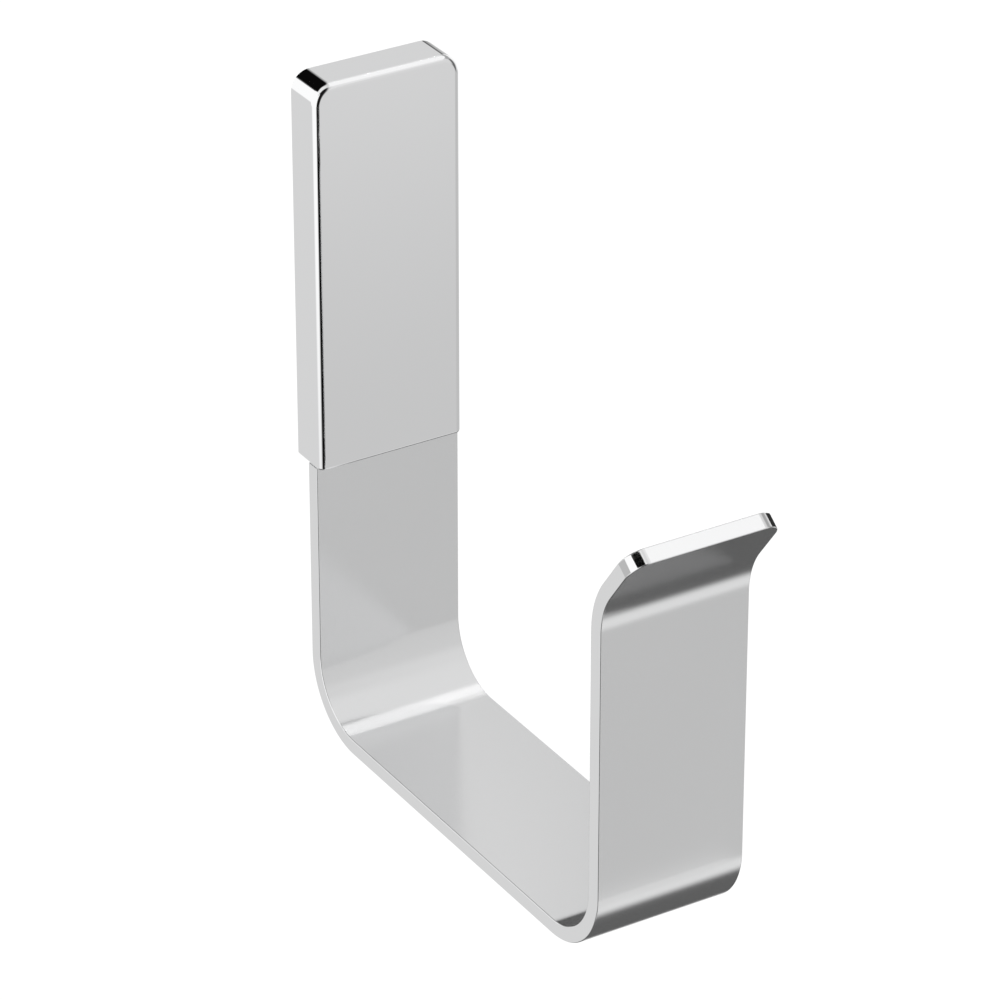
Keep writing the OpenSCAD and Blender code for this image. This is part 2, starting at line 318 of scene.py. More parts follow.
def turned_solid(start, way, points):
    """A solid turned from (radius, distance) points, the first and the last on its axis."""
    bm = bmesh.new()
    verts = [bm.verts.new((radius, 0, along)) for radius, along in points]
    edges = [bm.edges.new(pair) for pair in zip(verts, verts[1:])]
    bmesh.ops.spin(
        bm, geom=verts + edges, cent=(0, 0, 0), axis=(0, 0, 1), angle=math.tau,
        steps=TURNED_SIDES, use_merge=True,
    )
    bmesh.ops.remove_doubles(bm, verts=bm.verts, dist=MERGE)
    bmesh.ops.transform(bm, matrix=Matrix.Translation(start) @ turn_to(way), verts=bm.verts)
    bmesh.ops.recalc_face_normals(bm, faces=bm.faces)
    return bm


def bevel_edges(bm, edges, size, segments):
    """Rounds the given edges."""
    bmesh.ops.bevel(
        bm, geom=list(edges), offset=size, segments=segments, affect="EDGES", profile=0.5,
        offset_type="OFFSET", material=-1, clamp_overlap=True,
    )


def edges_where(bm, test):
    """The edges whose middle and direction pass a test."""
    found = []
    for edge in bm.edges:
        a, b = (v.co for v in edge.verts)
        if test((a + b) / 2, (b - a).normalized()):
            found.append(edge)
    return found


def edges_in(geometry):
    """The edges among mixed geometry."""
    return [part for part in geometry if isinstance(part, bmesh.types.BMEdge)]


def whole(bm):
    """All the geometry of a bmesh."""
    return bm.verts[:] + bm.edges[:] + bm.faces[:]


def near(a, b, tolerance=SAME):
    """True for two places that count as the same."""
    return abs(a - b) < tolerance


def middle_of(box):
    """The middle of a node's box."""
    return (box[0] + box[1]) / 2


def mesh_object(name, bm):
    """A new object, at the origin, that holds a bmesh."""
    mesh = bpy.data.meshes.new(name)
    bm.to_mesh(mesh)
    bm.free()
    obj = bpy.data.objects.new(name, mesh)
    bpy.context.scene.collection.objects.link(obj)
    return obj


def combine(obj, bm, operation):
    """Adds or cuts a closed bmesh, and leaves plain geometry."""
    tool = mesh_object(obj.name + "_tool", bm)
    modifier = obj.modifiers.new("combine", "BOOLEAN")
    modifier.object = tool
    modifier.operation = operation
    modifier.solver = "EXACT"
    graph = bpy.context.evaluated_depsgraph_get()
    old = obj.data
    result = bpy.data.meshes.new_from_object(obj.evaluated_get(graph))
    obj.modifiers.clear()
    obj.data = result
    result.name = obj.name
    bpy.data.meshes.remove(old)
    tool_mesh = tool.data
    bpy.data.objects.remove(tool)
    bpy.data.meshes.remove(tool_mesh)


def finish_piece(obj, replaced, materials, choose=None):
    """Cleans the mesh, gives it its materials and smooth shading, and ties it to the frame."""
    obj.data.materials.clear()
    for material in materials:
        obj.data.materials.append(material)
    bm = bmesh.new()
    bm.from_mesh(obj.data)
    bmesh.ops.remove_doubles(bm, verts=bm.verts, dist=MERGE)
    bmesh.ops.dissolve_degenerate(bm, edges=bm.edges, dist=MERGE)
    bmesh.ops.recalc_face_normals(bm, faces=bm.faces)
    for face in bm.faces:
        face.smooth = True
        face.material_index = choose(face) if choose else 0
    for edge in bm.edges:
        edge.smooth = len(edge.link_faces) == 2 and edge.calc_face_angle(0.0) < SMOOTH_UNDER
    bm.to_mesh(obj.data)
    bm.free()
    weighted = obj.modifiers.new("flat faces stay flat", "WEIGHTED_NORMAL")
    weighted.weight = FACE_WEIGHT
    weighted.keep_sharp = True
    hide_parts(*replaced)
    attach(obj, BODY)


# Node trees

def group_tree(name, inputs, outputs):
    """An empty shader node group with its sockets, and its two end nodes."""
    tree = bpy.data.node_groups.new(name, "ShaderNodeTree")
    for label, kind, default in inputs:
        socket = tree.interface.new_socket(name=label, in_out="INPUT", socket_type=kind)
        if default is not None:
            socket.default_value = default
    for label, kind in outputs:
        tree.interface.new_socket(name=label, in_out="OUTPUT", socket_type=kind)
    return tree, tree.nodes.new("NodeGroupInput"), tree.nodes.new("NodeGroupOutput")


def add_node(tree, kind, links=None, **settings):
    """A node with its settings and its inputs, each a value or a socket."""
    node = tree.nodes.new(kind)
    for key, value in settings.items():
        setattr(node, key, value)
    for key, value in (links or {}).items():
        if isinstance(value, bpy.types.NodeSocket):
            tree.links.new(value, node.inputs[key])
        else:
            node.inputs[key].default_value = value
    return node


def calc(tree, operation, a, b=0.0, clamp=False):
    """One step of arithmetic; returns its output."""
    node = add_node(tree, "ShaderNodeMath", {0: a, 1: b}, operation=operation, use_clamp=clamp)
    return node.outputs[0]


def bare_material(name):
    """A new material with no nodes yet."""
    material = bpy.data.materials.new(name)
    material.use_nodes = True
    material.node_tree.nodes.clear()
    return material


def grain_group():
    """Fine isotropic grain, as blasting or satin polishing leaves it."""
    tree, start, end = group_tree(
        "Fine grain",
        [("Vector", "NodeSocketVector", None), ("Size", "NodeSocketFloat", 0.3 * MM),
         ("Stretch", "NodeSocketVector", (1.0, 1.0, 1.0))],
        [("Grain", "NodeSocketFloat"), ("Cloud", "NodeSocketFloat")],
    )
    place = start.outputs["Vector"]
    stretched = add_node(tree, "ShaderNodeVectorMath", {0: place, 1: start.outputs["Stretch"]},
                         operation="MULTIPLY")
    scale = calc(tree, "DIVIDE", 1.0, start.outputs["Size"])
    fine = add_node(tree, "ShaderNodeTexNoise", {
        "Vector": stretched.outputs[0], "Scale": scale, "Detail": 3.0, "Roughness": 0.6,
    })
    cloud = add_node(tree, "ShaderNodeTexNoise", {
        "Vector": place, "Scale": CLOUD_SCALE, "Detail": 4.0, "Roughness": 0.55,
    })
    tree.links.new(fine.outputs["Fac"], end.inputs["Grain"])
    tree.links.new(cloud.outputs["Fac"], end.inputs["Cloud"])
    return tree


def vary_group():
    """A value that wanders by a share of itself with a mask round one half."""
    tree, start, end = group_tree(
        "Vary value",
        [("Value", "NodeSocketFloat", 0.5), ("Mask", "NodeSocketFloat", 0.5),
         ("Share", "NodeSocketFloat", 0.1)],
        [("Value", "NodeSocketFloat")],
    )
    centred = calc(tree, "SUBTRACT", start.outputs["Mask"], 0.5)
    scaled = calc(tree, "MULTIPLY", centred, start.outputs["Share"])
    factor = calc(tree, "ADD", scaled, 1.0)
    tree.links.new(calc(tree, "MULTIPLY", start.outputs["Value"], factor), end.inputs["Value"])
    return tree


# Metals

def metal(name, base, rough, size=0.3 * MM, stretch=(1.0, 1.0, 1.0), bump=0.1, depth=0.002 * MM,
          tone_share=0.03, rough_share=0.2, metallic=1.0):
    """A metal whose tone, gloss and surface wander a little."""
    made = bpy.data.node_groups
    grain_tree = made.get("Fine grain") or grain_group()
    vary_tree = made.get("Vary value") or vary_group()
    material = bare_material(name)
    tree = material.node_tree
    place = add_node(tree, "ShaderNodeTexCoord").outputs["Object"]
    grain = add_node(tree, "ShaderNodeGroup", {"Vector": place, "Size": size, "Stretch": stretch},
                     node_tree=grain_tree)
    cloud = grain.outputs["Cloud"]
    gloss = add_node(tree, "ShaderNodeGroup", {"Value": rough, "Mask": cloud, "Share": rough_share},
                     node_tree=vary_tree)
    tone = add_node(tree, "ShaderNodeGroup", {"Value": 1.0, "Mask": cloud, "Share": tone_share},
                    node_tree=vary_tree)
    tint = add_node(tree, "ShaderNodeVectorMath", {0: base, "Scale": tone.outputs["Value"]},
                    operation="SCALE")
    relief = add_node(tree, "ShaderNodeBump", {
        "Strength": bump, "Distance": depth, "Height": grain.outputs["Grain"],
    })
    shader = add_node(tree, "ShaderNodeBsdfPrincipled", {
        "Base Color": tint.outputs[0], "Metallic": metallic, "Roughness": gloss.outputs["Value"],
        "Normal": relief.outputs["Normal"],
    })
    add_node(tree, "ShaderNodeOutputMaterial", {"Surface": shader.outputs["BSDF"]})
    return material


def satin_steel(f):
    """The bar's wide faces."""
    return metal("satin_steel", f.satin, f.satin_rough, bump=0.25, depth=0.004 * MM,
                 tone_share=0.03, rough_share=0.12, metallic=f.satin_metallic)


def smooth_steel(f):
    """The bar's sheared narrow faces and the lip's rim."""
    return metal("satin_steel_edge", f.edge, f.edge_rough, bump=0.05, tone_share=0.02)


def polished_chrome(f):
    """The outside of the cover."""
    return metal("chrome", f.chrome, f.chrome_rough, bump=0.0, tone_share=0.01, rough_share=0.5)


def plated_casting(f):
    """The inside of the cover."""
    return metal("plated_casting", f.casting, f.casting_rough, size=0.6 * MM, bump=0.35,
                 depth=0.02 * MM, tone_share=0.12, rough_share=0.3)


def extruded_aluminium(f):
    """The bracket, with the fine lines of its extrusion."""
    return metal("extruded_aluminium", f.bracket, f.bracket_rough, size=0.4 * MM,
                 stretch=(1.0, 1.0, 0.03), bump=0.4, depth=0.012 * MM, tone_share=0.06,
                 rough_share=0.25)


def screw_steel(f):
    """The three screws."""
    return metal("screw_steel", f.screw, f.screw_rough, bump=0.2, depth=0.004 * MM, tone_share=0.1)


# Pieces

class TOWELHOLDER_OT_strap(bpy.types.Operator):
    """Make the bent satin strap, with its tongue and its lip"""

    bl_idname = "towelholder.strap"
    bl_label = "Strap"

    def execute(self, context):
        holder = context.scene.towel_holder
        s = holder.strap
        front = -s.wall_gap - s.thickness
        lip_z = STRAP_BOX[0].z + s.front_leg
        strap = mesh_object("strap", self.bar(s, lip_z))
        combine(strap, self.tongue(s), "UNION")
        for box in (LEFT_SCREW_BOX, RIGHT_SCREW_BOX):
            middle = middle_of(box)
            hole = drill((middle.x, 0, middle.z), (0, -1, 0), OVERRUN - front,
                         holder.screws.clamp / 2 + s.hole_play)
            combine(strap, hole, "DIFFERENCE")

        lip_face = Vector((0.0, -math.cos(s.lip_lean), -math.sin(s.lip_lean)))

        def surface(face):
            """1, the smooth finish, for the sheared narrow faces and for the lip's rim."""
            on_lip = face.calc_center_median().z > lip_z
            rim = on_lip and abs(face.normal.dot(lip_face)) < RIM_UNDER
            return int(rim or abs(face.normal.x) > SIDE_OVER)

        finishes = [satin_steel(holder.finishes), smooth_steel(holder.finishes)]
        finish_piece(strap, ["hook_strap"], finishes, surface)
        return {"FINISHED"}

    def bar(self, s, lip_z):
        """The flat bar, bent in order from the cover's foot to the lip, with its edges broken."""
        half = s.width / 2
        foot = COVER_BOX[0].z
        back, front = -s.wall_gap, -s.wall_gap - s.thickness
        outer = s.bend + s.thickness
        level_z = STRAP_BOX[0].z + outer
        leg_back = front - s.towel_gap
        bm = bmesh.new()
        section = ((-half, back), (half, back), (half, front), (-half, front))
        corners = [bm.verts.new((x, y, foot)) for x, y in section]
        root = [bm.edges.new(pair) for pair in zip(corners, corners[1:] + corners[:1])]

        def run(edges, step):
            out = bmesh.ops.extrude_edge_only(bm, edges=edges)["geom"]
            moved = [part for part in out if isinstance(part, bmesh.types.BMVert)]
            bmesh.ops.translate(bm, vec=step, verts=moved)
            return edges_in(out)

        def bend(edges, centre, turn):
            count = max(1, round(s.bend_facets * abs(turn) / (math.pi / 2)))
            out = bmesh.ops.spin(bm, geom=edges, cent=centre, axis=(1, 0, 0), angle=turn, steps=count)
            return edges_in(out["geom_last"])

        ring = run(root, (0, 0, level_z - foot))
        ring = bend(ring, (0, back - outer, level_z), -math.pi / 2)
        ring = run(ring, (0, leg_back + s.bend - back + outer, 0))
        ring = bend(ring, (0, leg_back + s.bend, level_z), -math.pi / 2)
        ring = run(ring, (0, 0, lip_z - level_z))
        ring = bend(ring, (0, leg_back - s.thickness - s.lip_bend, lip_z), s.lip_lean)
        out_way = Vector((0, -math.sin(s.lip_lean), math.cos(s.lip_lean)))
        end = run(ring, out_way * s.lip_length)
        for edges in (root, end):
            bmesh.ops.edgeloop_fill(bm, edges=edges)
        bmesh.ops.recalc_face_normals(bm, faces=bm.faces)

        # The lip's corners, then every long edge and the lip's end
        tip = [e for e in end if near(e.verts[0].co.x, e.verts[1].co.x, MERGE)]
        bevel_edges(bm, tip, s.lip_corner, s.corner_facets)
        sharp = [e for e in bm.edges if len(e.link_faces) == 2
                 and e.calc_face_angle() > SHARP_OVER and not self.at_root(e)]
        bevel_edges(bm, sharp, s.edge, s.edge_facets)
        return bm

    def at_root(self, edge):
        """True for the four edges round the bar's root, at the cover's foot."""
        return all(near(v.co.z, COVER_BOX[0].z) and v.co.y > STRAP_BOX[0].y / 2 for v in edge.verts)

    def tongue(self, s):
        """The narrower tongue that runs up inside the cover."""
        half = s.tongue_width / 2
        top = s.tongue_top
        back, front = -s.wall_gap, -s.wall_gap - s.thickness
        bm = box_solid((-half, front, COVER_BOX[0].z - s.thickness), (half, back, top))
        corners = edges_where(bm, lambda m, d: near(m.z, top) and abs(d.y) > ALONG)
        bevel_edges(bm, corners, s.tongue_corner, s.tongue_facets)
        end = edges_where(bm, lambda m, d: m.z > top - s.tongue_corner - SAME
                          and abs(d.y) < ACROSS and not near(abs(m.x), half))
        bevel_edges(bm, end, s.tongue_lead, 1)
        return bm


class TOWELHOLDER_OT_cover(bpy.types.Operator):
    """Make the polished cover, with its hollow, rib, floor and screw holes"""

    bl_idname = "towelholder.cover"
    bl_label = "Cover"

    def execute(self, context):
        holder = context.scene.towel_holder
        c = holder.cover
        low, high = COVER_BOX
        half = (high.x - low.x) / 2 - c.wall
        rib_half = half + c.wall / 2
        roof = high.z - c.top_wall
        cover = mesh_object("cover", self.shell(c))
        combine(cover, self.hollow(c, half, roof), "DIFFERENCE")
        combine(cover, self.rib(c, rib_half), "UNION")
        floor = box_solid((-rib_half, -c.rib_front, low.z), (rib_half, 0, low.z + c.floor))
        combine(cover, floor, "UNION")
        for box in (LEFT_SCREW_BOX, RIGHT_SCREW_BOX):
            combine(cover, self.clamp_hole(c, middle_of(box)), "DIFFERENCE")
        grub = middle_of(GRUB_BOX)
        bore = drill((grub.x, grub.y, low.z - OVERRUN), (0, 0, 1), c.floor + 2 * OVERRUN,
                     c.grub_hole / 2)
        combine(cover, bore, "DIFFERENCE")

        def surface(face):
            """1, the plated casting, for the faces inside the cover."""
            m = face.calc_center_median()
            inside = (abs(m.x) < half + SLIVER and -c.depth_inside - SAME < m.y < high.y - SLIVER
                      and low.z - SLIVER < m.z < roof + SLIVER)
            under = near(m.z, low.z) and m.y < -c.rib_front
            return int(inside and not under)

        finishes = [polished_chrome(holder.finishes), plated_casting(holder.finishes)]
        finish_piece(cover, ["cover"], finishes, surface)
        return {"FINISHED"}

    def shell(self, c):
        """The outside form, with its rounded corners and edges."""
        low, high = COVER_BOX
        bm = box_solid(low, high)
        corners = edges_where(bm, lambda m, d: near(m.z, high.z) and abs(d.y) > ALONG)
        bevel_edges(bm, corners, c.corner, c.corner_facets)
        front = edges_where(bm, lambda m, d: near(m.y, low.y) and m.z > low.z + SAME)
        bevel_edges(bm, front, c.front_round, c.front_facets)
        foot = edges_where(bm, lambda m, d: near(m.z, low.z) and abs(d.z) < ACROSS
                           and m.y < high.y - SAME)
        bevel_edges(bm, foot, c.foot_round, c.foot_facets)
        back = edges_where(bm, lambda m, d: near(m.y, high.y) and m.z > low.z + c.foot_round)
        bevel_edges(bm, back, c.back_round, c.back_facets)
        return bm

    def hollow(self, c, half, roof):
        """The space inside, open at the wall and at the foot."""
        bm = box_solid((-half, -c.depth_inside, COVER_BOX[0].z - OVERRUN), (half, OVERRUN, roof))
        corners = edges_where(bm, lambda m, d: near(m.z, roof) and abs(d.y) > ALONG)
        bevel_edges(bm, corners, c.corner - c.wall, c.corner_facets // 2)
        return bm

    def rib(self, c, half):
        """The rib over the bracket; its underside is level in front and rises towards the wall."""
        front, top = BRACKET_BOX[0].y, BRACKET_BOX[1].z
        drop = -front * math.tan(c.rib_slope)
        bm = box_solid((-half, -c.rib_front, top - drop), (half, -c.rib_back, top + c.rib_height))
        cut = bmesh.ops.bisect_plane(
            bm, geom=whole(bm), plane_co=(0, front, top),
            plane_no=(0, math.sin(c.rib_slope), -math.cos(c.rib_slope)), clear_outer=True,
        )
        bmesh.ops.holes_fill(bm, edges=edges_in(cut["geom_cut"]))
        bmesh.ops.bisect_plane(bm, geom=whole(bm), plane_co=(0, 0, top), plane_no=(0, 0, -1))
        for vert in bm.verts:
            if near(vert.co.y, -c.rib_front, MERGE) and vert.co.z < top + MERGE:
                vert.co.z = top
        bmesh.ops.remove_doubles(bm, verts=bm.verts, dist=MERGE)
        return bm

    def clamp_hole(self, c, middle):
        """A countersunk hole through the rib, turned from one profile."""
        seat = c.rib_back + c.recess
        deep = seat + (c.sink - c.screw_hole) / 2
        end = c.rib_front + OVERRUN
        profile = [(0, 0), (c.sink / 2, 0), (c.sink / 2, seat), (c.screw_hole / 2, deep),
                   (c.screw_hole / 2, end), (0, end)]
        return turned_solid((middle.x, 0, middle.z), (0, -1, 0), profile)


class TOWELHOLDER_OT_bracket(bpy.types.Operator):
    """Make the wall bracket that the cover hangs on"""

    bl_idname = "towelholder.bracket"
    bl_label = "Bracket"

    def execute(self, context):
        holder = context.scene.towel_holder
        b = holder.bracket
        low, high = BRACKET_BOX
        bm = box_solid(low, high)
        corners = edges_where(bm, lambda m, d: near(m.z, low.z) and abs(d.y) > ALONG)
        bevel_edges(bm, corners, b.corner, b.corner_facets)
        front = edges_where(bm, lambda m, d: near(m.y, low.y) and m.z < high.z - SAME)
        bevel_edges(bm, front, b.edge, b.edge_facets)
        bracket = mesh_object("bracket", bm)
        thick = high.y - low.y
        for z in (-b.hole_pitch / 2, b.hole_pitch / 2):
            hole = drill((0, OVERRUN, z), (0, -1, 0), thick + 2 * OVERRUN, b.hole / 2)
            combine(bracket, hole, "DIFFERENCE")
            deep = (b.sink - b.hole) / 2
            sink = cone_solid((0, low.y - SLIVER, z), (0, 1, 0), deep, b.sink / 2, b.hole / 2)
            combine(bracket, sink, "DIFFERENCE")
        grub = middle_of(GRUB_BOX)
        pocket = drill((grub.x, grub.y, low.z - OVERRUN), (0, 0, 1), OVERRUN + b.dog_depth,
                       b.dog_pocket / 2, SMALL_HOLE_SIDES)
        combine(bracket, pocket, "DIFFERENCE")
        finish_piece(bracket, ["wall_bracket"], [extruded_aluminium(holder.finishes)])
        return {"FINISHED"}


class TOWELHOLDER_OT_screws(bpy.types.Operator):
    """Make the two clamp screws and the grub screw"""

    bl_idname = "towelholder.screws"
    bl_label = "Screws"

    def execute(self, context):
        holder = context.scene.towel_holder
        steel = screw_steel(holder.finishes)
        right = self.clamp_screw(holder.screws)
        twin = bmesh.new()
        twin.from_mesh(right.data)
        aside = middle_of(LEFT_SCREW_BOX) - middle_of(RIGHT_SCREW_BOX)
        bmesh.ops.translate(twin, verts=twin.verts, vec=aside)
        left = mesh_object("clamp_screw_left_fine", twin)
        finish_piece(right, ["clamp_screw_right"], [steel])
        finish_piece(left, ["clamp_screw_left"], [steel])
        finish_piece(self.grub_screw(holder.screws), ["grub_screw"], [steel])
        return {"FINISHED"}

    def clamp_screw(self, s):
        """The right clamp screw, its flat head towards the wall."""
        low, high = RIGHT_SCREW_BOX
        middle = middle_of(RIGHT_SCREW_BOX)
        start, way = (middle.x, high.y, middle.z), (0, -1, 0)
        long = high.y - low.y
        head = (s.clamp_head - s.clamp) / 2
        profile = [(0, 0), (s.clamp_head / 2, 0), (s.clamp / 2, head)]
        profile += self.thread(head, long - head, s.clamp / 2, s.clamp_pitch)
        profile.append((0, long))
        screw = mesh_object("clamp_screw_right_fine", turned_solid(start, way, profile))
        self.cut_key(screw, start, way, s.clamp_key, s.clamp / 2)
        return screw

    def grub_screw(self, s):
        """The grub screw, its dog point up and its key socket at the foot."""
        low, high = GRUB_BOX
        middle = middle_of(GRUB_BOX)
        start, way = (middle.x, middle.y, low.z), (0, 0, 1)
        long = high.z - low.z
        shank = long - s.dog_length
        profile = [(0, 0)] + self.thread(0, shank, s.grub / 2, s.grub_pitch)
        profile += [(s.dog / 2, shank), (s.dog / 2, long), (0, long)]
        screw = mesh_object("grub_screw_fine", turned_solid(start, way, profile))
        self.cut_key(screw, start, way, s.grub_key, s.grub / 2)
        return screw

    def thread(self, begin, run, radius, pitch):
        """The profile of a thread with ring grooves about a pitch apart, at least two of them."""
        core = radius - THREAD_SHARE * pitch
        count = max(2, int(run / pitch))
        gap = run / count
        points = [(core, begin)]
        for turn in range(count):
            points += [(radius, begin + gap * (turn + 0.5)), (core, begin + gap * (turn + 1))]
        return points

    def cut_key(self, screw, start, way, across_flats, depth):
        """Cuts a hexagon socket into a screw's end."""
        corner = across_flats / 2 / math.cos(math.pi / KEY_SIDES)
        begin = Vector(start) - OVERRUN * Vector(way)
        combine(screw, drill(begin, way, OVERRUN + depth, corner, KEY_SIDES), "DIFFERENCE")


# Stage

def panel_group():
    """A flat studio panel far away: a soft-edged rectangle round a direction, in tangents of angle."""
    inputs = [("Vector", "NodeSocketVector", None)]
    for label, value in (("Azimuth", 0.0), ("Elevation", 0.0), ("Roll", 0.0), ("Left", -1.0),
                         ("Right", 1.0), ("Low", -1.0), ("High", 1.0), ("Soft left", 0.1),
                         ("Soft right", 0.1), ("Soft low", 0.1), ("Soft high", 0.1)):
        inputs.append((label, "NodeSocketFloat", value))
    tree, start, end = group_tree("Studio panel", inputs, [("Mask", "NodeSocketFloat")])

    # The direction as the panel sees it: X across, Y ahead and Z along
    turned = start.outputs["Vector"]
    tip = calc(tree, "MULTIPLY", start.outputs["Elevation"], -1.0)
    for turn, axis in ((start.outputs["Azimuth"], "Z_AXIS"), (tip, "X_AXIS"),
                       (start.outputs["Roll"], "Y_AXIS")):
        node = add_node(tree, "ShaderNodeVectorRotate", {"Vector": turned, "Angle": turn},
                        rotation_type=axis)
        turned = node.outputs[0]
    parts = add_node(tree, "ShaderNodeSeparateXYZ", {0: turned})
    ahead = calc(tree, "MAXIMUM", parts.outputs["Y"], AHEAD)
    across = calc(tree, "DIVIDE", parts.outputs["X"], ahead)
    along = calc(tree, "DIVIDE", parts.outputs["Z"], ahead)

    def ramp(value, side, rising):
        """A soft step at one edge of the panel."""
        edge = start.outputs[side]
        reach = calc(tree, "MULTIPLY", start.outputs["Soft " + side.lower()], 0.5)
        node = add_node(tree, "ShaderNodeMapRange", {
            "Value": value, "From Min": calc(tree, "SUBTRACT", edge, reach),
            "From Max": calc(tree, "ADD", edge, reach),
            "To Min": 0.0 if rising else 1.0, "To Max": 1.0 if rising else 0.0,
        }, interpolation_type="SMOOTHSTEP")
        return node.outputs[0]

    mask = calc(tree, "GREATER_THAN", parts.outputs["Y"], AHEAD)
    for value, side, rising in ((across, "Left", True), (across, "Right", False),
                                (along, "Low", True), (along, "High", False)):
        mask = calc(tree, "MULTIPLY", mask, ramp(value, side, rising))
    tree.links.new(mask, end.inputs["Mask"])
    return tree


# Each panel: name; azimuth and elevation of its middle and its roll, in degrees (azimuth 0 is behind
# the wall and 90 to the right); its left, right, low and high edges as tangents; the softness of each;
# its level. Each covers the ones before it
PANELS = [
    ("white floor", 0, -90, 0, (-0.3, 1.25, -1.25, 1.35), (0.3, 0.3, 0.6, 0.25), 0.84),
    ("floor at the wall", 0, -90, 0, (-0.3, 1.25, 0.5, 1.35), (0.3, 0.3, 0.2, 0.25), 0.82),
    ("dark floor", 0, -90, 0, (-1.0, 1.3, -0.5, 0.71), (0.2, 0.3, 0.3, 0.4), 0.115),
    ("front horizon", 148, -29, 0, (-0.3, 0.3, -0.16, 0.06), (0.2, 0.2, 0.12, 0.12), 0.585),
    ("behind", 3, 8, 0, (-0.5, 0.5, -0.21, 0.3), (0.1, 0.06, 0.1, 0.1), 0.01),
    ("behind right", 33, 4, 0, (-0.14, 0.09, -0.17, 0.2), (0.05, 0.05, 0.08, 0.06), 0.1),
    ("foot sliver", 6, -39, 0, (-0.2, 0.2, -0.1, 0.1), (0.1, 0.1, 0.1, 0.1), 1.0),
    ("upper back", -8, 48, 0, (-0.9, 0.57, -0.38, 0.6), (0.4, 0.15, 0.1, 0.5), 0.003),
    ("level patch", 35, 39, 0, (-0.18, 0.2, -0.16, 0.12), (0.12, 0.12, 0.12, 0.12), 0.85),
    ("right gap", 115, 5, 27, (-0.28, 0.14, -0.55, 0.45), (0.5, 0.2, 0.2, 0.3), 0.1),
    ("gap foot", 133, -15, 0, (-0.12, 0.1, -0.09, 0.09), (0.08, 0.08, 0.08, 0.08), 0.2),
    ("right horizon", 105, -27, 0, (-0.9, 0.72, -0.16, 0.05), (0.5, 0.3, 0.1, 0.1), 0.53),
    ("upper gap", 78, 36, 0, (-0.7, 0.75, -0.16, 0.16), (0.2, 0.3, 0.15, 0.15), 0.38),
    ("right softbox", 60, 0, 0, (-0.36, 0.6, -0.38, 0.4), (0.12, 1.0, 0.08, 0.15), 1.0),
    ("front softbox", 145, 25, 10, (-0.25, 0.24, -0.42, 0.75), (0.2, 0.2, 1.4, 0.3), 0.72),
    ("softbox core", 146, 32, 21, (-0.08, 0.05, -0.22, 0.42), (0.06, 0.06, 0.3, 0.1), 0.83),
    ("overhead strip", 85, 63, 0, (-0.5, 0.85, -0.14, 0.22), (0.15, 0.5, 0.12, 0.25), 0.82),
    ("camera gap", -172, 5, 0, (-0.4, 0.75, -0.6, 1.0), (0.35, 0.45, 0.3, 0.4), 0.01),
    ("camera foot", -172, -30, 0, (-0.42, 0.55, -0.5, 0.28), (0.17, 0.5, 0.3, 0.15), 0.003),
    ("left overhead", -118, 66, 0, (-0.45, 0.35, -0.6, 0.35), (0.3, 0.3, 0.3, 0.4), 0.85),
    ("left softbox", -95, 0, 6, (-1.42, 2.35, -0.56, 1.05), (0.5, 0.1, 0.2, 0.1), 1.02),
]

# Each card near the part: name; its middle, half length and half width, in millimetres; its level
CARDS = [
    ("card_left", (-144, -243.5, 247.4), (-106.9, 30.9, -35.6), (-4.6, -30, 11.5), 0.003),
    ("card_right", (41.5, -138, -5.5), (-5.9, 8.7, -11.5), (-1.2, 3.6, 3.3), 0.03),
    ("card_left_rim", (-38.5, -137, -8.5), (5.2, 6, -7.9), (-1.1, -3.5, -3.4), 0.5),
    ("card_low", (20, -182, -141), (28, 0, 0), (0, 0, 11), 0.78),
    ("card_top", (22, -18, 90), (26, -7, 0), (0, 24, 0), 0.96),
    ("card_over", (53.5, -185, 86), (20.5, 0, 0), (0, 11.2, 4.2), 0.97),
]


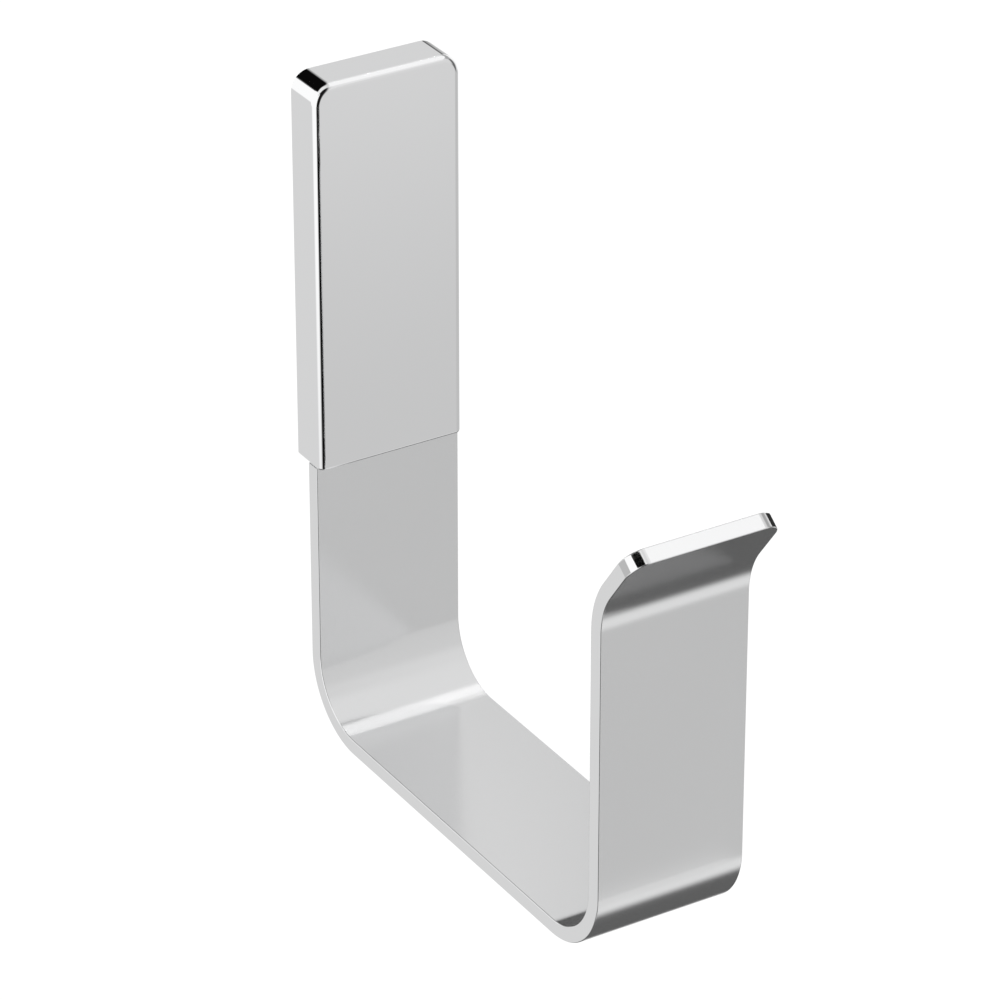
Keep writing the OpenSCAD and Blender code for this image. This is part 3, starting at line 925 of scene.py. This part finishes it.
class TOWELHOLDER_OT_stage(bpy.types.Operator):
    """Set up the camera, the pale floor and the studio light"""

    bl_idname = "towelholder.stage"
    bl_label = "Stage"

    def execute(self, context):
        scene = context.scene
        studio = scene.towel_holder.studio
        scene.view_settings.view_transform = "Standard"
        self.camera(scene, studio)
        self.world(scene, studio)
        self.tent(studio)
        self.cards()
        self.lamp(scene, studio)
        self.floor(studio)
        return {"FINISHED"}

    def camera(self, scene, studio):
        """A long lens, as the photograph was taken with."""
        data = bpy.data.cameras.new("camera")
        data.lens = studio.lens
        data.sensor_width = studio.sensor
        data.clip_end = studio.sight
        camera = bpy.data.objects.new("camera", data)
        camera.location = studio.place
        camera.rotation_euler = Euler((math.pi / 2 - studio.elevation, 0.0, studio.azimuth))
        scene.collection.objects.link(camera)
        scene.camera = camera

    def seen(self, tree):
        """One for the rays that show the background: camera, glossy and transmission rays."""
        path = add_node(tree, "ShaderNodeLightPath")
        shown = calc(tree, "ADD", path.outputs["Is Camera Ray"], path.outputs["Is Glossy Ray"])
        return calc(tree, "ADD", shown, path.outputs["Is Transmission Ray"], clamp=True)

    def world(self, scene, studio):
        """White where it is seen, and a plain level of light all round."""
        world = bpy.data.worlds.new("studio")
        scene.world = world
        world.use_nodes = True
        world.cycles.sampling_method = "NONE"
        tree = world.node_tree
        tree.nodes.clear()
        level = add_node(tree, "ShaderNodeMix", {
            "Factor": self.seen(tree), "A": studio.plain, "B": 1.0,
        }, data_type="FLOAT")
        background = add_node(tree, "ShaderNodeBackground", {
            "Strength": level.outputs[0], "Color": (1.0, 1.0, 1.0, 1.0),
        })
        add_node(tree, "ShaderNodeOutputWorld", {"Surface": background.outputs[0]})

    def tent(self, studio):
        """A round light tent with soft panels and dark gaps, which only the metal sees."""
        bm = bmesh.new()
        bmesh.ops.create_uvsphere(bm, u_segments=2 * studio.tent_rings, v_segments=studio.tent_rings,
                                  radius=studio.tent_radius)
        tent = mesh_object("tent", bm)
        tent.location = (0.0, COVER_BOX[0].y, 0.0)
        material = bare_material("tent")
        material.cycles.emission_sampling = "NONE"
        tree = material.node_tree
        way = add_node(tree, "ShaderNodeTexCoord").outputs["Object"]
        panel_tree = panel_group()
        level = studio.ambient
        for name, azimuth, elevation, roll, edges, softs, light in PANELS:
            panel = add_node(tree, "ShaderNodeGroup", {"Vector": way}, node_tree=panel_tree,
                             name=name, label=name)
            turns = [math.radians(turn) for turn in (azimuth, elevation, roll)]
            for socket, value in zip(list(panel.inputs)[1:], (*turns, *edges, *softs)):
                socket.default_value = value
            mix = add_node(tree, "ShaderNodeMix", {
                "Factor": panel.outputs["Mask"], "A": level, "B": light,
            }, data_type="FLOAT")
            level = mix.outputs[0]
        glow = add_node(tree, "ShaderNodeEmission", {"Strength": level})
        add_node(tree, "ShaderNodeOutputMaterial", {"Surface": glow.outputs[0]})
        tent.data.materials.append(material)
        self.only_in_metal(tent)

    def cards(self):
        """Black, grey and white cards close to the part, set to draw its edges."""
        for name, middle, along, across, level in CARDS:
            paper = bare_material(name)
            glow = add_node(paper.node_tree, "ShaderNodeEmission", {"Strength": level})
            add_node(paper.node_tree, "ShaderNodeOutputMaterial", {"Surface": glow.outputs[0]})
            along, across = Vector(along) * MM, Vector(across) * MM
            normal = along.cross(across).normalized()
            axes = Matrix((along, across, normal)).transposed().to_4x4()
            bm = bmesh.new()
            bmesh.ops.create_grid(bm, x_segments=1, y_segments=1, size=1.0,
                                  matrix=Matrix.Translation(Vector(middle) * MM) @ axes)
            card = mesh_object(name, bm)
            card.data.materials.append(paper)
            self.only_in_metal(card)

    def lamp(self, scene, studio):
        """A soft lamp high on the right whose highlight runs along the bend at the wall."""
        light = bpy.data.lights.new("bend_lamp", "SUN")
        light.energy = studio.lamp_strength
        light.angle = studio.lamp_spread
        light.use_shadow = False
        light.cycles.cast_shadow = False
        light.cycles.use_multiple_importance_sampling = False
        lamp = bpy.data.objects.new("bend_lamp", light)
        lamp.rotation_euler = Vector(studio.lamp_way).to_track_quat("Z", "Y").to_euler()
        scene.collection.objects.link(lamp)
        self.only_in_metal(lamp)

    def only_in_metal(self, obj):
        """The object shows in reflections alone and casts no shadow."""
        obj.visible_camera = False
        obj.visible_diffuse = False
        obj.visible_transmission = False
        obj.visible_shadow = False

    def floor(self, studio):
        """A pale floor well below the object, which takes its shadow."""
        bm = bmesh.new()
        bmesh.ops.create_grid(bm, x_segments=1, y_segments=1, size=studio.floor_size / 2)
        bmesh.ops.translate(bm, verts=bm.verts, vec=(0, 0, STRAP_BOX[0].z - studio.floor_drop))
        floor = mesh_object("floor", bm)
        material = bare_material("pale_floor")
        material.cycles.emission_sampling = "NONE"
        tree = material.node_tree
        diffuse = add_node(tree, "ShaderNodeBsdfDiffuse", {"Color": (*studio.floor_colour, 1.0)})
        lift = calc(tree, "MULTIPLY", self.seen(tree), studio.floor_glow)
        glow = add_node(tree, "ShaderNodeEmission", {"Strength": lift})
        both = add_node(tree, "ShaderNodeAddShader", {0: diffuse.outputs[0], 1: glow.outputs[0]})
        add_node(tree, "ShaderNodeOutputMaterial", {"Surface": both.outputs[0]})
        floor.data.materials.append(material)
        floor.visible_glossy = False


class TOWELHOLDER_PT_panel(bpy.types.Panel):
    """Lists the pieces of the towel holder"""

    bl_label = "Towel holder"
    bl_idname = "TOWELHOLDER_PT_panel"
    bl_space_type = "VIEW_3D"
    bl_region_type = "UI"
    bl_category = "Towel holder"

    def draw(self, context):
        layout = self.layout
        for operator in OPERATORS:
            layout.operator(operator.bl_idname)
        settings = context.scene.towel_holder
        for group in ("strap", "cover", "bracket", "screws", "finishes", "studio"):
            part = getattr(settings, group)
            column = layout.column(heading=group.title())
            for name in part.__annotations__:
                column.prop(part, name)


OPERATORS = (TOWELHOLDER_OT_strap, TOWELHOLDER_OT_cover, TOWELHOLDER_OT_bracket, TOWELHOLDER_OT_screws,
             TOWELHOLDER_OT_stage)
CLASSES = (StrapSizes, CoverSizes, BracketSizes, ScrewSizes, Finishes, StudioSettings, TowelHolder,
           *OPERATORS, TOWELHOLDER_PT_panel)


def register():
    for cls in CLASSES:
        bpy.utils.register_class(cls)
    bpy.types.Scene.towel_holder = PointerProperty(type=TowelHolder)


def unregister():
    del bpy.types.Scene.towel_holder
    for cls in reversed(CLASSES):
        bpy.utils.unregister_class(cls)


def main():
    register()
    bpy.ops.towelholder.strap()
    bpy.ops.towelholder.cover()
    bpy.ops.towelholder.bracket()
    bpy.ops.towelholder.screws()
    bpy.ops.towelholder.stage()


if __name__ == "__main__":
    main()
